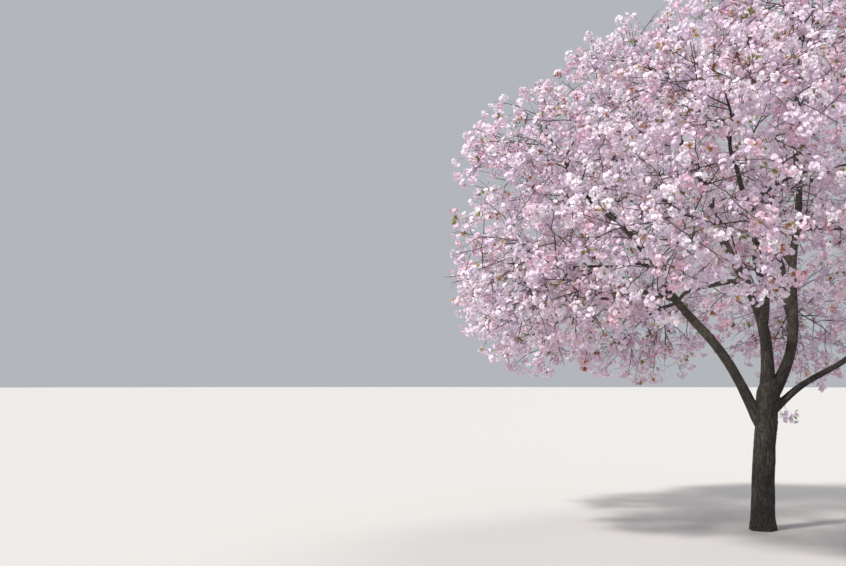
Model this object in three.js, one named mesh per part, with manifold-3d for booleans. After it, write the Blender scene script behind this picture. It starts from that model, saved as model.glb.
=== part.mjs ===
// A double-flowered cherry tree in full bloom: a leaning trunk that forks low, boughs that
// rise and spread from the fork, and masses of blossom carried on twigs at the boughs' ends.
// Millimetres, +Z up. The origin is the middle of the flat cut under the trunk, at ground level.
// The open side of the crown, where the fork shows, faces -Y.
import * as THREE from "three";
import { mergeVertices } from "three/addons/utils/BufferGeometryUtils.js";
import Module from "manifold-3d";

const wasm = await Module();
wasm.setup();

// Trunk
const FORK_HEIGHT = 1600;
const TRUNK_RADIUS = 112;
const TRUNK_LEAN = 125; // towards +X, at the fork
const TRUNK_SWEEP = 1.6; // how much of the lean comes in the upper part: 1 is a straight trunk
const TRUNK_TAPER = 0.07;
const TRUNK_RINGS = [0, 0.02, 0.05, 0.1, 0.18, 0.32, 0.5, 0.66, 0.78, 0.88, 0.95, 1];
const FLARE = 0.22; // share by which the foot is wider than the trunk
const FLARE_HEIGHT = 150;
const FLARE_LOBES = 5;
const LOBE_DEPTH = 0.07;
const FORK_SWELL = 0.12;
const SWELL_AT = 0.88; // share of the fork's height
const SWELL_SPREAD = 0.13;
const HEAD_FROM = 0.9; // where the trunk's head starts to round off
const HEAD_ROUNDING = 0.4;
const TRUNK_SIDES = 16;

// Boughs: where each leaves its parent, which way, and the mass that it carries
const BOUGHS = [
  { name: "bough_left", from: "trunk", height: 1040, bearing: 180, rise: 59, bend: 5.6,
    to: "blossom_middle_4", firstRadius: 56, lastRadius: 34 },
  { name: "bough_right", from: "trunk", height: 1200, bearing: -4, rise: 38, bend: 0,
    to: "blossom_skirt_1", firstRadius: 38, lastRadius: 22 },
  { name: "bough_rising_left", from: "trunk", height: 1400, bearing: 180, rise: 89, bend: 6,
    to: "blossom_upper_2", firstRadius: 66, lastRadius: 30 },
  { name: "bough_rising_right", from: "trunk", height: 1360, bearing: 6, rise: 56, bend: 0.8,
    to: "blossom_upper_1", firstRadius: 60, lastRadius: 28 },
  { name: "bough_back", from: "bough_rising_right", height: 2080, bearing: 78, rise: 48, bend: 5.1,
    to: "blossom_middle_2", firstRadius: 40, lastRadius: 24 },
  { name: "bough_front", from: "bough_rising_left", height: 2150, bearing: 262, rise: 50, bend: 0.9,
    to: "blossom_middle_5", firstRadius: 42, lastRadius: 24 },
];
const BOUGH_SIDES = 8;
const BOUGH_STEPS = 9;
const LEAVING_PULL = 0.42; // how long a limb keeps the way it leaves by, as a share of its length
const ARRIVING_PULL = 0.34;
const CROOK = 0.022; // how far a limb strays from its curve, as a share of its length
const ARRIVING_RISE = 0.6; // flattens the way by which a limb enters its mass
const JOINT_GAP = 0.3; // clearance between solids that meet
const ENTRY_LEVEL = 0.62; // how deep in its mass a limb ends: 1 at the edge, 0 at the middle
const ENTRY_STEP = 0.02;

// Branches: one from a bough to each mass that no bough carries
const BRANCH_SIDES = 6;
const BRANCH_STEPS = 6;
const BRANCH_SHARE = 0.62; // a branch's radius, as a share of its bough's where it leaves
const LEAST_BRANCH_RADIUS = 17;
const BRANCH_TAPER = 0.62;
const BRANCH_FOLLOW = 0.55; // how much a branch sets out along its bough
const BRANCH_BEND = 1.7; // how the crook changes from one branch to the next
const ATTACH_FROM = 0.3;
const ATTACH_TO = 0.97;
const ATTACH_STEP = 0.05;
const ATTACH_SPACING = 230; // least distance between two branches on one bough
const TURN_COST = 0.5;
const SHORT_WAY = 350;
const SHORT_COST = 2000;
const FALLING = -0.1;
const FALL_COST = 900;

// Crown: rings of masses, each an ellipsoid that is round in plan
const CROWN_CENTRE = new THREE.Vector2(40, 60);
const RINGS = [
  { name: "skirt", count: 8, height: 2700, out: 2480, across: 1160, half: 960, turn: 0.35, tilt: 270 },
  { name: "middle", count: 6, height: 3900, out: 2020, across: 1280, half: 960, turn: 0.1, tilt: 60 },
  { name: "upper", count: 3, height: 5000, out: 1020, across: 1160, half: 900, turn: 0.3, tilt: 0 },
  { name: "inner", count: 2, height: 3500, out: 640, across: 900, half: 800, turn: 0.5, tilt: 0 },
  { name: "top", count: 1, height: 5480, out: 0, across: 900, half: 780, turn: 0, tilt: 0 },
];
const CROWN_SEED = 7;
const SWAY = 0.14; // how widely a mass strays about its even place, as a share of its width
const SEAM = 0.035; // half the gap kept between two masses, as a share of their radii
const LIMB_CLEARANCE = 25;

// Twigs
const GOLDEN_ANGLE = Math.PI * (3 - Math.sqrt(5));
const STEM_ROOT = 40; // the straight stretch by which a stem leaves its limb's tip
const STEM_FIT = 0.95; // a stem's root radius, as a share of its limb's tip
const STEM_STEPS = 4;
const STEM_TIP_RADIUS = 6;
const STEM_SHARE = 0.75; // how far towards the mass's far side the stem runs
const SIDE_TWIGS = 10;
const FIRST_SIDE_AT = 0.14;
const LAST_SIDE_AT = 0.96;
const SIDE_SPREAD = 1.2; // angle between a side twig and its stem, near the stem's foot
const SPREAD_FALL = 0.4; // how much smaller that angle is near the stem's tip
const SPREAD_CHANCE = 0.2;
const SIDE_RADII = [8, 6.5, 5];
const SUB_TWIGS_AT = [0.38, 0.74];
const SUB_SPREAD = 0.85;
const SUB_SHARE = 0.6; // a smaller twig's greatest length, as a share of its side twig's
const SUB_RADII = [5, 4];
const TWIG_DROOP = 0.12;
const LEAST_TWIG = 190;
const LONGEST_TWIG = 1150;
const END_SPACING = 290; // least distance between two twigs' ends
const REACH_STEP = 40;

// Sprays of blossom
const SPRAY_LENGTH = 540;
const SPRAY_WIDTH = 420;
const SPRAY_SIZES = [1, 0.82, 0.66];
const MERGE_TOLERANCE = 0.5;

const BARK = new THREE.MeshStandardMaterial({ color: 0x4a403a, roughness: 0.9, metalness: 0 });
const BLOSSOM = new THREE.MeshStandardMaterial({ color: 0xefd3df, roughness: 0.7, metalness: 0 });
const UP = new THREE.Vector3(0, 0, 1);
const FULL_TURN = 2 * Math.PI;

// A seeded source of numbers from 0 to 1.
function seededRandom(seed) {
  let state = (seed * 2654435761 + 12345) >>> 0;
  return () => {
    state = (Math.imul(state, 1664525) + 1013904223) >>> 0;
    return state / 4294967296;
  };
}

// A direction from its bearing, turned from +X towards +Y, and its rise above level, in degrees.
function heading(bearing, rise) {
  const b = THREE.MathUtils.degToRad(bearing);
  const r = THREE.MathUtils.degToRad(rise);
  return new THREE.Vector3(Math.cos(b) * Math.cos(r), Math.sin(b) * Math.cos(r), Math.sin(r));
}

// Two directions square to the given one.
function squareTo(direction) {
  const level = Math.abs(direction.z) < 0.9 ? UP : new THREE.Vector3(1, 0, 0);
  const side = new THREE.Vector3().crossVectors(level, direction).normalize();
  return [side, new THREE.Vector3().crossVectors(direction, side).normalize()];
}

// A direction that leaves the given one at an angle of spread, turned about it by turn.
function leaning(direction, spread, turn) {
  const [side, over] = squareTo(direction);
  return direction
    .clone()
    .multiplyScalar(Math.cos(spread))
    .addScaledVector(side, Math.sin(spread) * Math.cos(turn))
    .addScaledVector(over, Math.sin(spread) * Math.sin(turn))
    .normalize();
}

// The points of a crooked curve from start to end, which leaves and arrives along given directions.
function route(start, leave, end, arrive, steps, bend) {
  const length = start.distanceTo(end);
  const curve = new THREE.CubicBezierCurve3(
    start,
    start.clone().addScaledVector(leave, length * LEAVING_PULL),
    end.clone().addScaledVector(arrive, -length * ARRIVING_PULL),
    end,
  );
  const [side, over] = squareTo(end.clone().sub(start).normalize());
  return Array.from({ length: steps + 1 }, (_, k) => {
    const t = k / steps;
    const away = length * CROOK * Math.sin(Math.PI * t);
    return curve
      .getPoint(t)
      .addScaledVector(side, away * Math.sin(3 * Math.PI * t + bend))
      .addScaledVector(over, away * Math.cos(2 * Math.PI * t + bend));
  });
}

// The point, direction and radius of a limb or twig at a share t of its steps.
function along(limb, t) {
  const last = limb.points.length - 1;
  const k = Math.min(Math.floor(t * last), last - 1);
  const part = t * last - k;
  return {
    point: limb.points[k].clone().lerp(limb.points[k + 1], part),
    direction: limb.points[k + 1].clone().sub(limb.points[k]).normalize(),
    radius: THREE.MathUtils.lerp(limb.radii[k], limb.radii[k + 1], part),
  };
}

// The point at which a limb passes a height.
function atHeight(limb, height) {
  const k = limb.points.findIndex((p) => p.z > height);
  const [below, above] = [limb.points[k - 1], limb.points[k]];
  return below.clone().lerp(above, (height - below.z) / (above.z - below.z));
}

// Radii that fall from first to last over a number of steps.
function taper(first, last, steps) {
  return Array.from({ length: steps + 1 }, (_, k) => THREE.MathUtils.lerp(first, last, k / steps));
}

// A closed tube round the points: a cylinder whose rings are moved on to them.
// ringRadius(k, angle) is the radius at ring k. With level rings, each ring stays horizontal.
function tube(points, ringRadius, sides, levelRings = false) {
  const last = points.length - 1;
  const geometry = new THREE.CylinderGeometry(1, 1, 1, sides, last);
  geometry.deleteAttribute("normal");
  geometry.deleteAttribute("uv");
  const frames = [];
  let side = null;
  for (let k = 0; k <= last; k++) {
    const before = points[Math.max(k - 1, 0)];
    const after = points[Math.min(k + 1, last)];
    const tangent = levelRings ? UP : after.clone().sub(before).normalize();
    if (side) side = side.clone().addScaledVector(tangent, -side.dot(tangent)).normalize();
    else side = squareTo(tangent)[0];
    frames.push([side, new THREE.Vector3().crossVectors(side, tangent)]);
  }
  const position = geometry.attributes.position;
  for (let i = 0; i < position.count; i++) {
    const k = Math.round((position.getY(i) + 0.5) * last);
    const x = position.getX(i);
    const z = position.getZ(i);
    const radius = ringRadius(k, Math.atan2(z, x));
    const moved = points[k]
      .clone()
      .addScaledVector(frames[k][0], x * radius)
      .addScaledVector(frames[k][1], z * radius);
    position.setXYZ(i, moved.x, moved.y, moved.z);
  }
  return geometry;
}

function toSolid(geometry) {
  const merged = mergeVertices(geometry, 1e-3);
  return new wasm.Manifold(
    new wasm.Mesh({
      numProp: 3,
      vertProperties: new Float32Array(merged.attributes.position.array),
      triVerts: new Uint32Array(merged.index.array),
    }),
  );
}

function largestBody(solid) {
  return solid.decompose().sort((a, b) => b.volume() - a.volume())[0];
}

function toMesh(name, solid, material) {
  const made = solid.getMesh();
  const geometry = new THREE.BufferGeometry();
  geometry.setAttribute("position", new THREE.BufferAttribute(made.vertProperties, 3));
  geometry.setIndex(new THREE.BufferAttribute(made.triVerts, 1));
  geometry.computeVertexNormals();
  const mesh = new THREE.Mesh(geometry, material);
  mesh.name = name;
  return mesh;
}

// The trunk: a flared, lobed foot, a slight lean, and a swollen, rounded head at the fork.
function makeTrunk() {
  const lean = (share) => TRUNK_LEAN * share ** TRUNK_SWEEP;
  const points = TRUNK_RINGS.map((share) => new THREE.Vector3(lean(share), 0, share * FORK_HEIGHT));
  const radii = TRUNK_RINGS.map((share) => {
    const swell = 1 + FORK_SWELL * Math.exp(-(((share - SWELL_AT) / SWELL_SPREAD) ** 2));
    const roundOff = Math.max(share - HEAD_FROM, 0) / (1 - HEAD_FROM);
    return TRUNK_RADIUS * (1 - TRUNK_TAPER * (share - 0.5)) * swell * (1 - HEAD_ROUNDING * roundOff ** 2);
  });
  const foot = points.map((p) => Math.exp(-p.z / FLARE_HEIGHT));
  const lobes = (angle) => FLARE + LOBE_DEPTH * Math.cos(FLARE_LOBES * angle + 0.6);
  const ringRadius = (k, angle) => radii[k] * (1 + foot[k] * lobes(angle));
  return { name: "trunk", points, radii, sides: TRUNK_SIDES, ringRadius };
}

// The masses, ring by ring, each a little off its even place.
function placeMasses() {
  const random = seededRandom(CROWN_SEED);
  return RINGS.flatMap((ring) =>
    Array.from({ length: ring.count }, (_, i) => {
      const bearing = (FULL_TURN * (i + ring.turn)) / ring.count;
      const stray = () => (random() - 0.5) * SWAY * ring.across;
      const centre = new THREE.Vector3(
        CROWN_CENTRE.x + ring.out * Math.cos(bearing) + stray(),
        CROWN_CENTRE.y + ring.out * Math.sin(bearing) + stray(),
        ring.height - ring.tilt * Math.sin(bearing) + stray(),
      );
      return { name: `blossom_${ring.name}_${i + 1}`, centre, across: ring.across, half: ring.half };
    }),
  );
}

// 0 at a mass's middle and 1 at its edge.
function level(mass, p) {
  const c = mass.centre;
  return Math.hypot((p.x - c.x) / mass.across, (p.y - c.y) / mass.across, (p.z - c.z) / mass.half);
}

// Whether a point is in a mass's own space: inside its ellipsoid, and deeper in it than in any other.
function isInside(mass, p) {
  const own = level(mass, p);
  return own < 1 && masses.every((other) => other === mass || level(other, p) > own + SEAM);
}

function distanceToLimb(limb, p) {
  let least = Infinity;
  const near = new THREE.Vector3();
  for (let k = 0; k < limb.points.length - 1; k++) {
    new THREE.Line3(limb.points[k], limb.points[k + 1]).closestPointToPoint(p, true, near);
    least = Math.min(least, near.distanceTo(p) - Math.max(limb.radii[k], limb.radii[k + 1]));
  }
  return least;
}

function isClearOfLimbs(p, room) {
  return limbs.every((limb) => distanceToLimb(limb, p) > room + LIMB_CLEARANCE);
}

// The first point on the straight way to a mass's middle that is deep enough in it.
function entryTo(mass, from) {
  const last = Math.round(1 / ENTRY_STEP);
  for (let k = 1; k < last; k++) {
    const p = from.clone().lerp(mass.centre, k * ENTRY_STEP);
    if (level(mass, p) < ENTRY_LEVEL) return p;
  }
  return mass.centre.clone();
}

// A limb from a place on its parent to the edge of its mass.
function makeLimb({ name, start, leave, mass, firstRadius, lastRadius, steps, sides, bend }) {
  const end = entryTo(mass, start);
  const arrive = mass.centre.clone().sub(end).normalize();
  arrive.z *= ARRIVING_RISE;
  arrive.normalize();
  const points = route(start, leave, end, arrive, steps, bend);
  mass.limb = name;
  return { name, points, radii: taper(firstRadius, lastRadius, steps), sides };
}

function makeBoughs(trunk) {
  const made = [];
  for (const plan of BOUGHS) {
    const parent = [trunk, ...made].find((limb) => limb.name === plan.from);
    made.push(
      makeLimb({
        ...plan,
        start: atHeight(parent, plan.height),
        leave: heading(plan.bearing, plan.rise),
        mass: masses.find((mass) => mass.name === plan.to),
        steps: BOUGH_STEPS,
        sides: BOUGH_SIDES,
      }),
    );
  }
  return made;
}

// What a branch from a place on a bough to a mass costs: its length, its turn, a fall or a cramped start.
function branchCost(way, direction) {
  const length = way.length();
  const falls = way.z < length * FALLING;
  const turned = length * (1 + TURN_COST * direction.angleTo(way));
  return turned + (falls ? FALL_COST : 0) + (length < SHORT_WAY ? SHORT_COST : 0);
}

// The place on a bough from which a branch reaches a mass by the shortest and straightest way.
function bestPlace(boughs, mass, taken) {
  const last = Math.round((ATTACH_TO - ATTACH_FROM) / ATTACH_STEP);
  let best = null;
  for (const bough of boughs)
    for (let k = 0; k <= last; k++) {
      const place = along(bough, ATTACH_FROM + k * ATTACH_STEP);
      if (taken.some((p) => p.distanceTo(place.point) < ATTACH_SPACING)) continue;
      const way = entryTo(mass, place.point).sub(place.point);
      const cost = branchCost(way, place.direction);
      if (!best || cost < best.cost) best = { ...place, way, cost };
    }
  return best;
}

function makeBranches(boughs) {
  const taken = [];
  const left = masses.filter((mass) => !mass.limb);
  return left.map((mass, i) => {
    const { point, direction, radius, way } = bestPlace(boughs, mass, taken);
    taken.push(point);
    const firstRadius = Math.max(radius * BRANCH_SHARE, LEAST_BRANCH_RADIUS);
    return makeLimb({
      name: mass.name.replace("blossom", "branch"),
      start: point,
      leave: direction.multiplyScalar(BRANCH_FOLLOW).add(way.normalize()).normalize(),
      mass,
      firstRadius,
      lastRadius: firstRadius * BRANCH_TAPER,
      steps: BRANCH_STEPS,
      sides: BRANCH_SIDES,
      bend: i * BRANCH_BEND,
    });
  });
}

// How far a twig can go from a point along a direction, with room for the spray at its end.
function reach(mass, from, direction, radius) {
  let far = 0;
  while (far < LONGEST_TWIG + SPRAY_LENGTH / 2) {
    const p = from.clone().addScaledVector(direction, far + REACH_STEP);
    if (!isInside(mass, p) || !isClearOfLimbs(p, radius)) break;
    far += REACH_STEP;
  }
  return far - SPRAY_LENGTH / 2;
}

// A twig's points: it sets out along a direction and droops a little more at each step.
function twigPoints(start, direction, length, steps) {
  const points = [start.clone()];
  const way = direction.clone();
  for (let k = 0; k < steps; k++) {
    points.push(points[k].clone().addScaledVector(way, length / steps));
    way.addScaledVector(UP, -TWIG_DROOP).normalize();
  }
  return points;
}

// Adds a twig to a mass's twigs, unless it is too short or its end crowds another twig's end.
function addTwig(twigs, start, way, length, radii) {
  if (length < LEAST_TWIG) return null;
  const points = twigPoints(start, way, length, radii.length - 1);
  if (twigs.some((other) => other.points.at(-1).distanceTo(points.at(-1)) < END_SPACING)) return null;
  const twig = { points, radii, sides: 3 };
  twigs.push(twig);
  return twig;
}

// The stem of a mass, which runs on from its limb's tip towards the mass's far side.
function makeStem(mass, bend) {
  const limb = limbs.find((other) => other.name === mass.limb);
  const tip = limb.points.at(-1);
  const tipRadius = limb.radii.at(-1) * STEM_FIT;
  const onwards = tip.clone().sub(limb.points.at(-2)).normalize();
  const root = tip.clone().addScaledVector(onwards, JOINT_GAP);
  const farSide = mass.centre.clone().multiplyScalar(1 + STEM_SHARE).addScaledVector(tip, -STEM_SHARE);
  const outwards = farSide.clone().sub(mass.centre).normalize();
  const bendsFrom = root.clone().addScaledVector(onwards, STEM_ROOT);
  const points = [root, ...route(bendsFrom, onwards, farSide, outwards, STEM_STEPS, bend)];
  const radii = [tipRadius, ...taper(tipRadius, STEM_TIP_RADIUS, STEM_STEPS)];
  while (points.length > 2 && !isInside(mass, points.at(-1))) points.pop();
  return { points, radii: radii.slice(0, points.length), sides: BRANCH_SIDES };
}

// The twigs of one mass: its stem, side twigs round the stem, and smaller twigs from each of those.
function growTwigs(mass) {
  const random = seededRandom(masses.indexOf(mass) + 1);
  const stem = makeStem(mass, FULL_TURN * random());
  const twigs = [stem];
  const firstTurn = FULL_TURN * random();
  for (let i = 0; i < SIDE_TWIGS; i++) {
    const share = i / (SIDE_TWIGS - 1);
    const { point, direction } = along(stem, THREE.MathUtils.lerp(FIRST_SIDE_AT, LAST_SIDE_AT, share));
    const spread = (SIDE_SPREAD - SPREAD_FALL * share) * (1 + SPREAD_CHANCE * (random() - 0.5));
    const way = leaning(direction, spread, firstTurn + i * GOLDEN_ANGLE);
    const length = Math.min(reach(mass, point, way, SIDE_RADII[0]), LONGEST_TWIG);
    const side = addTwig(twigs, point, way, length, SIDE_RADII);
    const firstSubTurn = FULL_TURN * random();
    if (!side) continue;
    SUB_TWIGS_AT.forEach((at, k) => {
      const from = along(side, at);
      const subWay = leaning(from.direction, SUB_SPREAD, firstSubTurn + k * GOLDEN_ANGLE);
      const subLength = Math.min(reach(mass, from.point, subWay, SUB_RADII[0]), SUB_SHARE * length);
      addTwig(twigs, from.point, subWay, subLength, SUB_RADII);
    });
  }
  return twigs;
}

// A spray of blossom round a twig's end, stretched along it, or null where no size fits the mass's space.
function spray(mass, twig, turn) {
  const { point, direction } = along(twig, 1);
  const side = leaning(direction, Math.PI / 2, turn);
  const over = new THREE.Vector3().crossVectors(direction, side);
  const place = new THREE.Matrix4().makeBasis(side, over, direction).setPosition(point);
  for (const size of SPRAY_SIZES) {
    const half = (SPRAY_WIDTH / 2) * size;
    const geometry = new THREE.OctahedronGeometry(1, 0)
      .scale(half, half, (SPRAY_LENGTH / 2) * size)
      .applyMatrix4(place);
    geometry.deleteAttribute("normal");
    geometry.deleteAttribute("uv");
    const position = geometry.attributes.position;
    const corners = Array.from({ length: position.count }, (_, i) =>
      new THREE.Vector3().fromBufferAttribute(position, i),
    );
    const fits = corners.every((p) => isInside(mass, p) && isClearOfLimbs(p, 0));
    if (fits && isClearOfLimbs(point, half)) return geometry;
  }
  return null;
}

// One mass as one solid: its twigs, with a spray of blossom fused on at each twig's end.
function makeMass(mass) {
  const twigs = growTwigs(mass);
  const tubes = twigs.map((twig) => tube(twig.points, (k) => twig.radii[k], twig.sides));
  const sprays = twigs.map((twig, i) => spray(mass, twig, i * GOLDEN_ANGLE)).filter(Boolean);
  const joined = wasm.Manifold.union([...tubes, ...sprays].map(toSolid));
  return largestBody(joined.asOriginal().simplify(MERGE_TOLERANCE));
}

// A limb's solid, or the same solid grown all round by a clearance.
function limbSolid(limb, clearance = 0) {
  const grown = clearance / Math.cos(Math.PI / limb.sides);
  const ringRadius = limb.ringRadius ?? ((k) => limb.radii[k]);
  return toSolid(tube(limb.points, (k, angle) => ringRadius(k, angle) + grown, limb.sides, limb === trunk));
}

const masses = placeMasses();
const trunk = makeTrunk();
const boughs = makeBoughs(trunk);
const branches = makeBranches(boughs);
const limbs = [trunk, ...boughs, ...branches];

// Each limb is cut clear of the trunk and of the limbs before it, where it leaves or passes them.
const tree = new THREE.Group();
const cutters = limbs.map((limb) => limbSolid(limb, JOINT_GAP));
limbs.forEach((limb, i) => {
  let solid = limbSolid(limb);
  for (const cutter of cutters.slice(0, i)) solid = solid.subtract(cutter);
  tree.add(toMesh(limb.name, largestBody(solid), BARK));
});
for (const mass of masses) tree.add(toMesh(mass.name, makeMass(mass), BLOSSOM));

export default tree;
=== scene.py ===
"""A double-flowered cherry tree in full bloom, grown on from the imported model's limbs. Metres, +Z up."""
import math
from dataclasses import dataclass, field

import bpy
import numpy as np
from numpy.linalg import norm
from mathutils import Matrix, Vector, kdtree, noise


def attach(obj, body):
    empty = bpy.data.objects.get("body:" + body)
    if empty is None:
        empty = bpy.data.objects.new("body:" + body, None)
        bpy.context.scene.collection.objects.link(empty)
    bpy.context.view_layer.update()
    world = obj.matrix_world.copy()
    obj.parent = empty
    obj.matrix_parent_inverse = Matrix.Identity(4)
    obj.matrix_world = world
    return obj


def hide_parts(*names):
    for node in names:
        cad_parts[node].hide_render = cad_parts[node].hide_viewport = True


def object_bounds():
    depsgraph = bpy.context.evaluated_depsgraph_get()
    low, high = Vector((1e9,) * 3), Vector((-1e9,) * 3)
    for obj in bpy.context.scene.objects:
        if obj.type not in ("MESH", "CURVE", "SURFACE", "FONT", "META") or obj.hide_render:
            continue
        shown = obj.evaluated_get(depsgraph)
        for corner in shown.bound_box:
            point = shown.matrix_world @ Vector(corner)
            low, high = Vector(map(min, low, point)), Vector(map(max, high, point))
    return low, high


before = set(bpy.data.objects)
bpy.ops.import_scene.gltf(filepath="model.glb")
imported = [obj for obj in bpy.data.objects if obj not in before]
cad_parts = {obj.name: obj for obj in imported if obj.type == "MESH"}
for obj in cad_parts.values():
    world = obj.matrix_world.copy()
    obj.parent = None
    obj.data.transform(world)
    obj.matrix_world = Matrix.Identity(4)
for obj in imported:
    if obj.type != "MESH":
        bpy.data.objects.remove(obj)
CAD_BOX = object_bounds()

UP = np.array([0.0, 0.0, 1.0])
ACROSS = np.array([1.0, 0.0, 0.0])
STEEP, STEEP_ROUTE = 0.9, 0.8  # rises from which a direction or a whole route is squared to X instead of Z
FULL_TURN = 2 * math.pi
GOLDEN_ANGLE = math.pi * (3 - math.sqrt(5))
TINY = 1e-12

# Trunk, with the sizes that the solids' source gives it
FORK_HEIGHT = 1.6
TRUNK_RADIUS = 0.112
TRUNK_LEAN = 0.125
TRUNK_SWEEP = 1.6
TRUNK_TAPER = 0.07
TRUNK_RINGS = (0, 0.02, 0.05, 0.1, 0.18, 0.32, 0.5, 0.66, 0.78, 0.88, 0.95, 1)
FLARE = 0.22
FLARE_HEIGHT = 0.15
FLARE_LOBES = 5
LOBE_DEPTH = 0.07
LOBE_TURN = 0.6
FORK_SWELL = 0.12
SWELL_AT = 0.88
SWELL_SPREAD = 0.13
HEAD_FROM = 0.9
HEAD_ROUNDING = 0.4

# Boughs: parent, height, bearing and rise, bend, the mass carried, first and last radius
BOUGHS = {
    "bough_left": ("trunk", 1.04, 180, 59, 5.6, "blossom_middle_4", 0.056, 0.034),
    "bough_right": ("trunk", 1.2, -4, 38, 0, "blossom_skirt_1", 0.038, 0.022),
    "bough_rising_left": ("trunk", 1.4, 180, 89, 6, "blossom_upper_2", 0.066, 0.03),
    "bough_rising_right": ("trunk", 1.36, 6, 56, 0.8, "blossom_upper_1", 0.06, 0.028),
    "bough_back": ("bough_rising_right", 2.08, 78, 48, 5.1, "blossom_middle_2", 0.04, 0.024),
    "bough_front": ("bough_rising_left", 2.15, 262, 50, 0.9, "blossom_middle_5", 0.042, 0.024),
}
BOUGH_STEPS = 9
LEAVING_PULL = 0.42
ARRIVING_PULL = 0.34
CROOK = 0.022
CROOK_WAVES = (3, 2)  # half waves of crook, sideways and up, along a limb
ARRIVING_RISE = 0.6
JOINT_GAP = 0.0003
ENTRY_LEVEL = 0.62
ENTRY_STEP = 0.02

# Branches
BRANCH_STEPS = 6
BRANCH_SHARE = 0.62
LEAST_BRANCH_RADIUS = 0.017
BRANCH_TAPER = 0.62
BRANCH_FOLLOW = 0.55
BRANCH_BEND = 1.7
ATTACH_FROM = 0.3
ATTACH_TO = 0.97
ATTACH_STEP = 0.05
ATTACH_SPACING = 0.23
TURN_COST = 0.5
SHORT_WAY = 0.35
SHORT_COST = 2
FALLING = -0.1
FALL_COST = 0.9

# Crown: ring name, count, height, way out, radius across, half height, turn, tilt
CROWN_CENTRE = (0.04, 0.06)
RINGS = (
    ("skirt", 8, 2.7, 2.48, 1.16, 0.96, 0.35, 0.27),
    ("middle", 6, 3.9, 2.02, 1.28, 0.96, 0.1, 0.06),
    ("upper", 3, 5.0, 1.02, 1.16, 0.9, 0.3, 0),
    ("inner", 2, 3.5, 0.64, 0.9, 0.8, 0.5, 0),
    ("top", 1, 5.48, 0, 0.9, 0.78, 0, 0),
)
CROWN_SEED = 7
SWAY = 0.14
SEAM = 0.035
LIMB_CLEARANCE = 0.025

# Twigs that the solids have too
STEM_ROOT = 0.04
STEM_FIT = 0.95
STEM_STEPS = 4
STEM_TIP_RADIUS = 0.006
STEM_SHARE = 0.75
SIDE_TWIGS = 10
FIRST_SIDE_AT = 0.14
LAST_SIDE_AT = 0.96
SIDE_SPREAD = 1.2
SPREAD_FALL = 0.4
SPREAD_CHANCE = 0.2
SIDE_RADII = (0.008, 0.0065, 0.005)
SUB_TWIGS_AT = (0.38, 0.74)
SUB_SPREAD = 0.85
SUB_SHARE = 0.6
SUB_RADII = (0.005, 0.004)
TWIG_DROOP = 0.12
TWIG_WAVER = 0.03
WAVER_TURNS = (7, 5)  # radians of waver, sideways and up, along a twig
LEAST_TWIG = 0.19
LONGEST_TWIG = 1.15
END_SPACING = 0.29
REACH_STEP = 0.04
SPRAY_LENGTH = 0.54

# More side twigs, which fill the room that those above leave
FILL_TRIES = 110
FILL_SHARES = (0.25, 0.95)
FILL_SPREADS = (0.6, 1.35)
FILL_END = 0.12
FILL_LONGEST = 0.9
FILL_SPACING = 0.27
FILL_RADII = (0.0055, 0.0045, 0.0035)


@dataclass
class Growth:
    """How one kind of finer twig grows, in metres, with its spread in radians and its straight parts."""

    order: int
    spacing: float
    lengths: tuple
    spread: float
    radii: tuple
    joints: int


# Finer twigs: shoots on the twigs above and on the limbs, and twiglets on the shoots
SHOOT = Growth(3, 0.17, (0.2, 0.46), 0.95, (0.0034, 0.0014), 3)
TWIGLET = Growth(4, 0.15, (0.07, 0.19), 0.8, (0.0016, 0.0009), 1)
FINE_SEED = 11
FIRST_FINE_AT = 0.12
TIP_TURN = 0.3
SPREAD_SHARES = (0.75, 1.25)
TWIG_BOW = (-0.1, 0.06)
ZIGZAG = 0.035
FINE_STEPS = 5
FINE_LEVEL = 0.91  # how near the edge of its mass a finer twig may end
CLEFT_FILL = 5  # lower values let finer twigs fill more of the clefts between masses
SHORTEST_SHOOT = 0.06
LIMB_SHOOT_SPACING = 0.2
LIMB_SHOOT_LENGTHS = (0.25, 0.7)
BARE_OF_BOUGH = 0.45
BARE_OF_BRANCH = 0.2
LOW_SHOOTS = (  # bough, share of its way, bearing, rise and length: the few that hang about the fork
    ("bough_right", 0.05, 275, -20, 0.16),
    ("bough_right", 0.07, 262, -32, 0.14),
    ("bough_right", 0.09, 288, -48, 0.13),
    ("bough_right", 0.3, 60, -20, 0.2),
)
LOOK_AHEAD, LOOK_BACK, LOOK_ROUND = 0.02, 0.05, 0.01  # shares of a curve that its direction is taken over
NEAR_TIP = 0.999  # share of a limb's way where the bark reads the tip's radius

# Clusters of flowers, each on a spur
CLUSTERS = 8600
CLUSTER_SPACING = 0.096
CLUSTER_RADIUS = 0.048
CLUSTER_CORE = 0.7  # share of the radius that keeps clear of the limbs
CLUSTER_LEVEL = 0.97  # how near the edge of its mass a cluster may be
CLUSTER_DROOP = 0.45
CLUSTER_SIZES = (0.74, 1.24)
CROWDING_RADIUS = 0.2
CLUMP_SCALE = 4.2
CLUMP_FROM, CLUMP_TO = -0.26, 0.0  # noise below and above which clusters are few and full
FEWEST_BETWEEN = 0.04
CROWN_MIDDLE = 2.5
CROWN_REACH = 3.5
THIN_WITHIN, FULL_BEYOND = 0.3, 0.55  # shares of the crown's reach over which clusters thin out inwards
FEWEST_INSIDE = 0.15
BARE_SHARES = (0.5, 0.25, 0.1)  # how much of a stem, side twig and smaller twig is bare, from its foot
SPUR_LENGTH = 0.045
SPUR_RADIUS = 0.002
SPUR_SPREAD = 1.15
TIP_SPREAD = 0.35
STALK_REACH = 0.6
STALK_TAPER = 0.5

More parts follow.
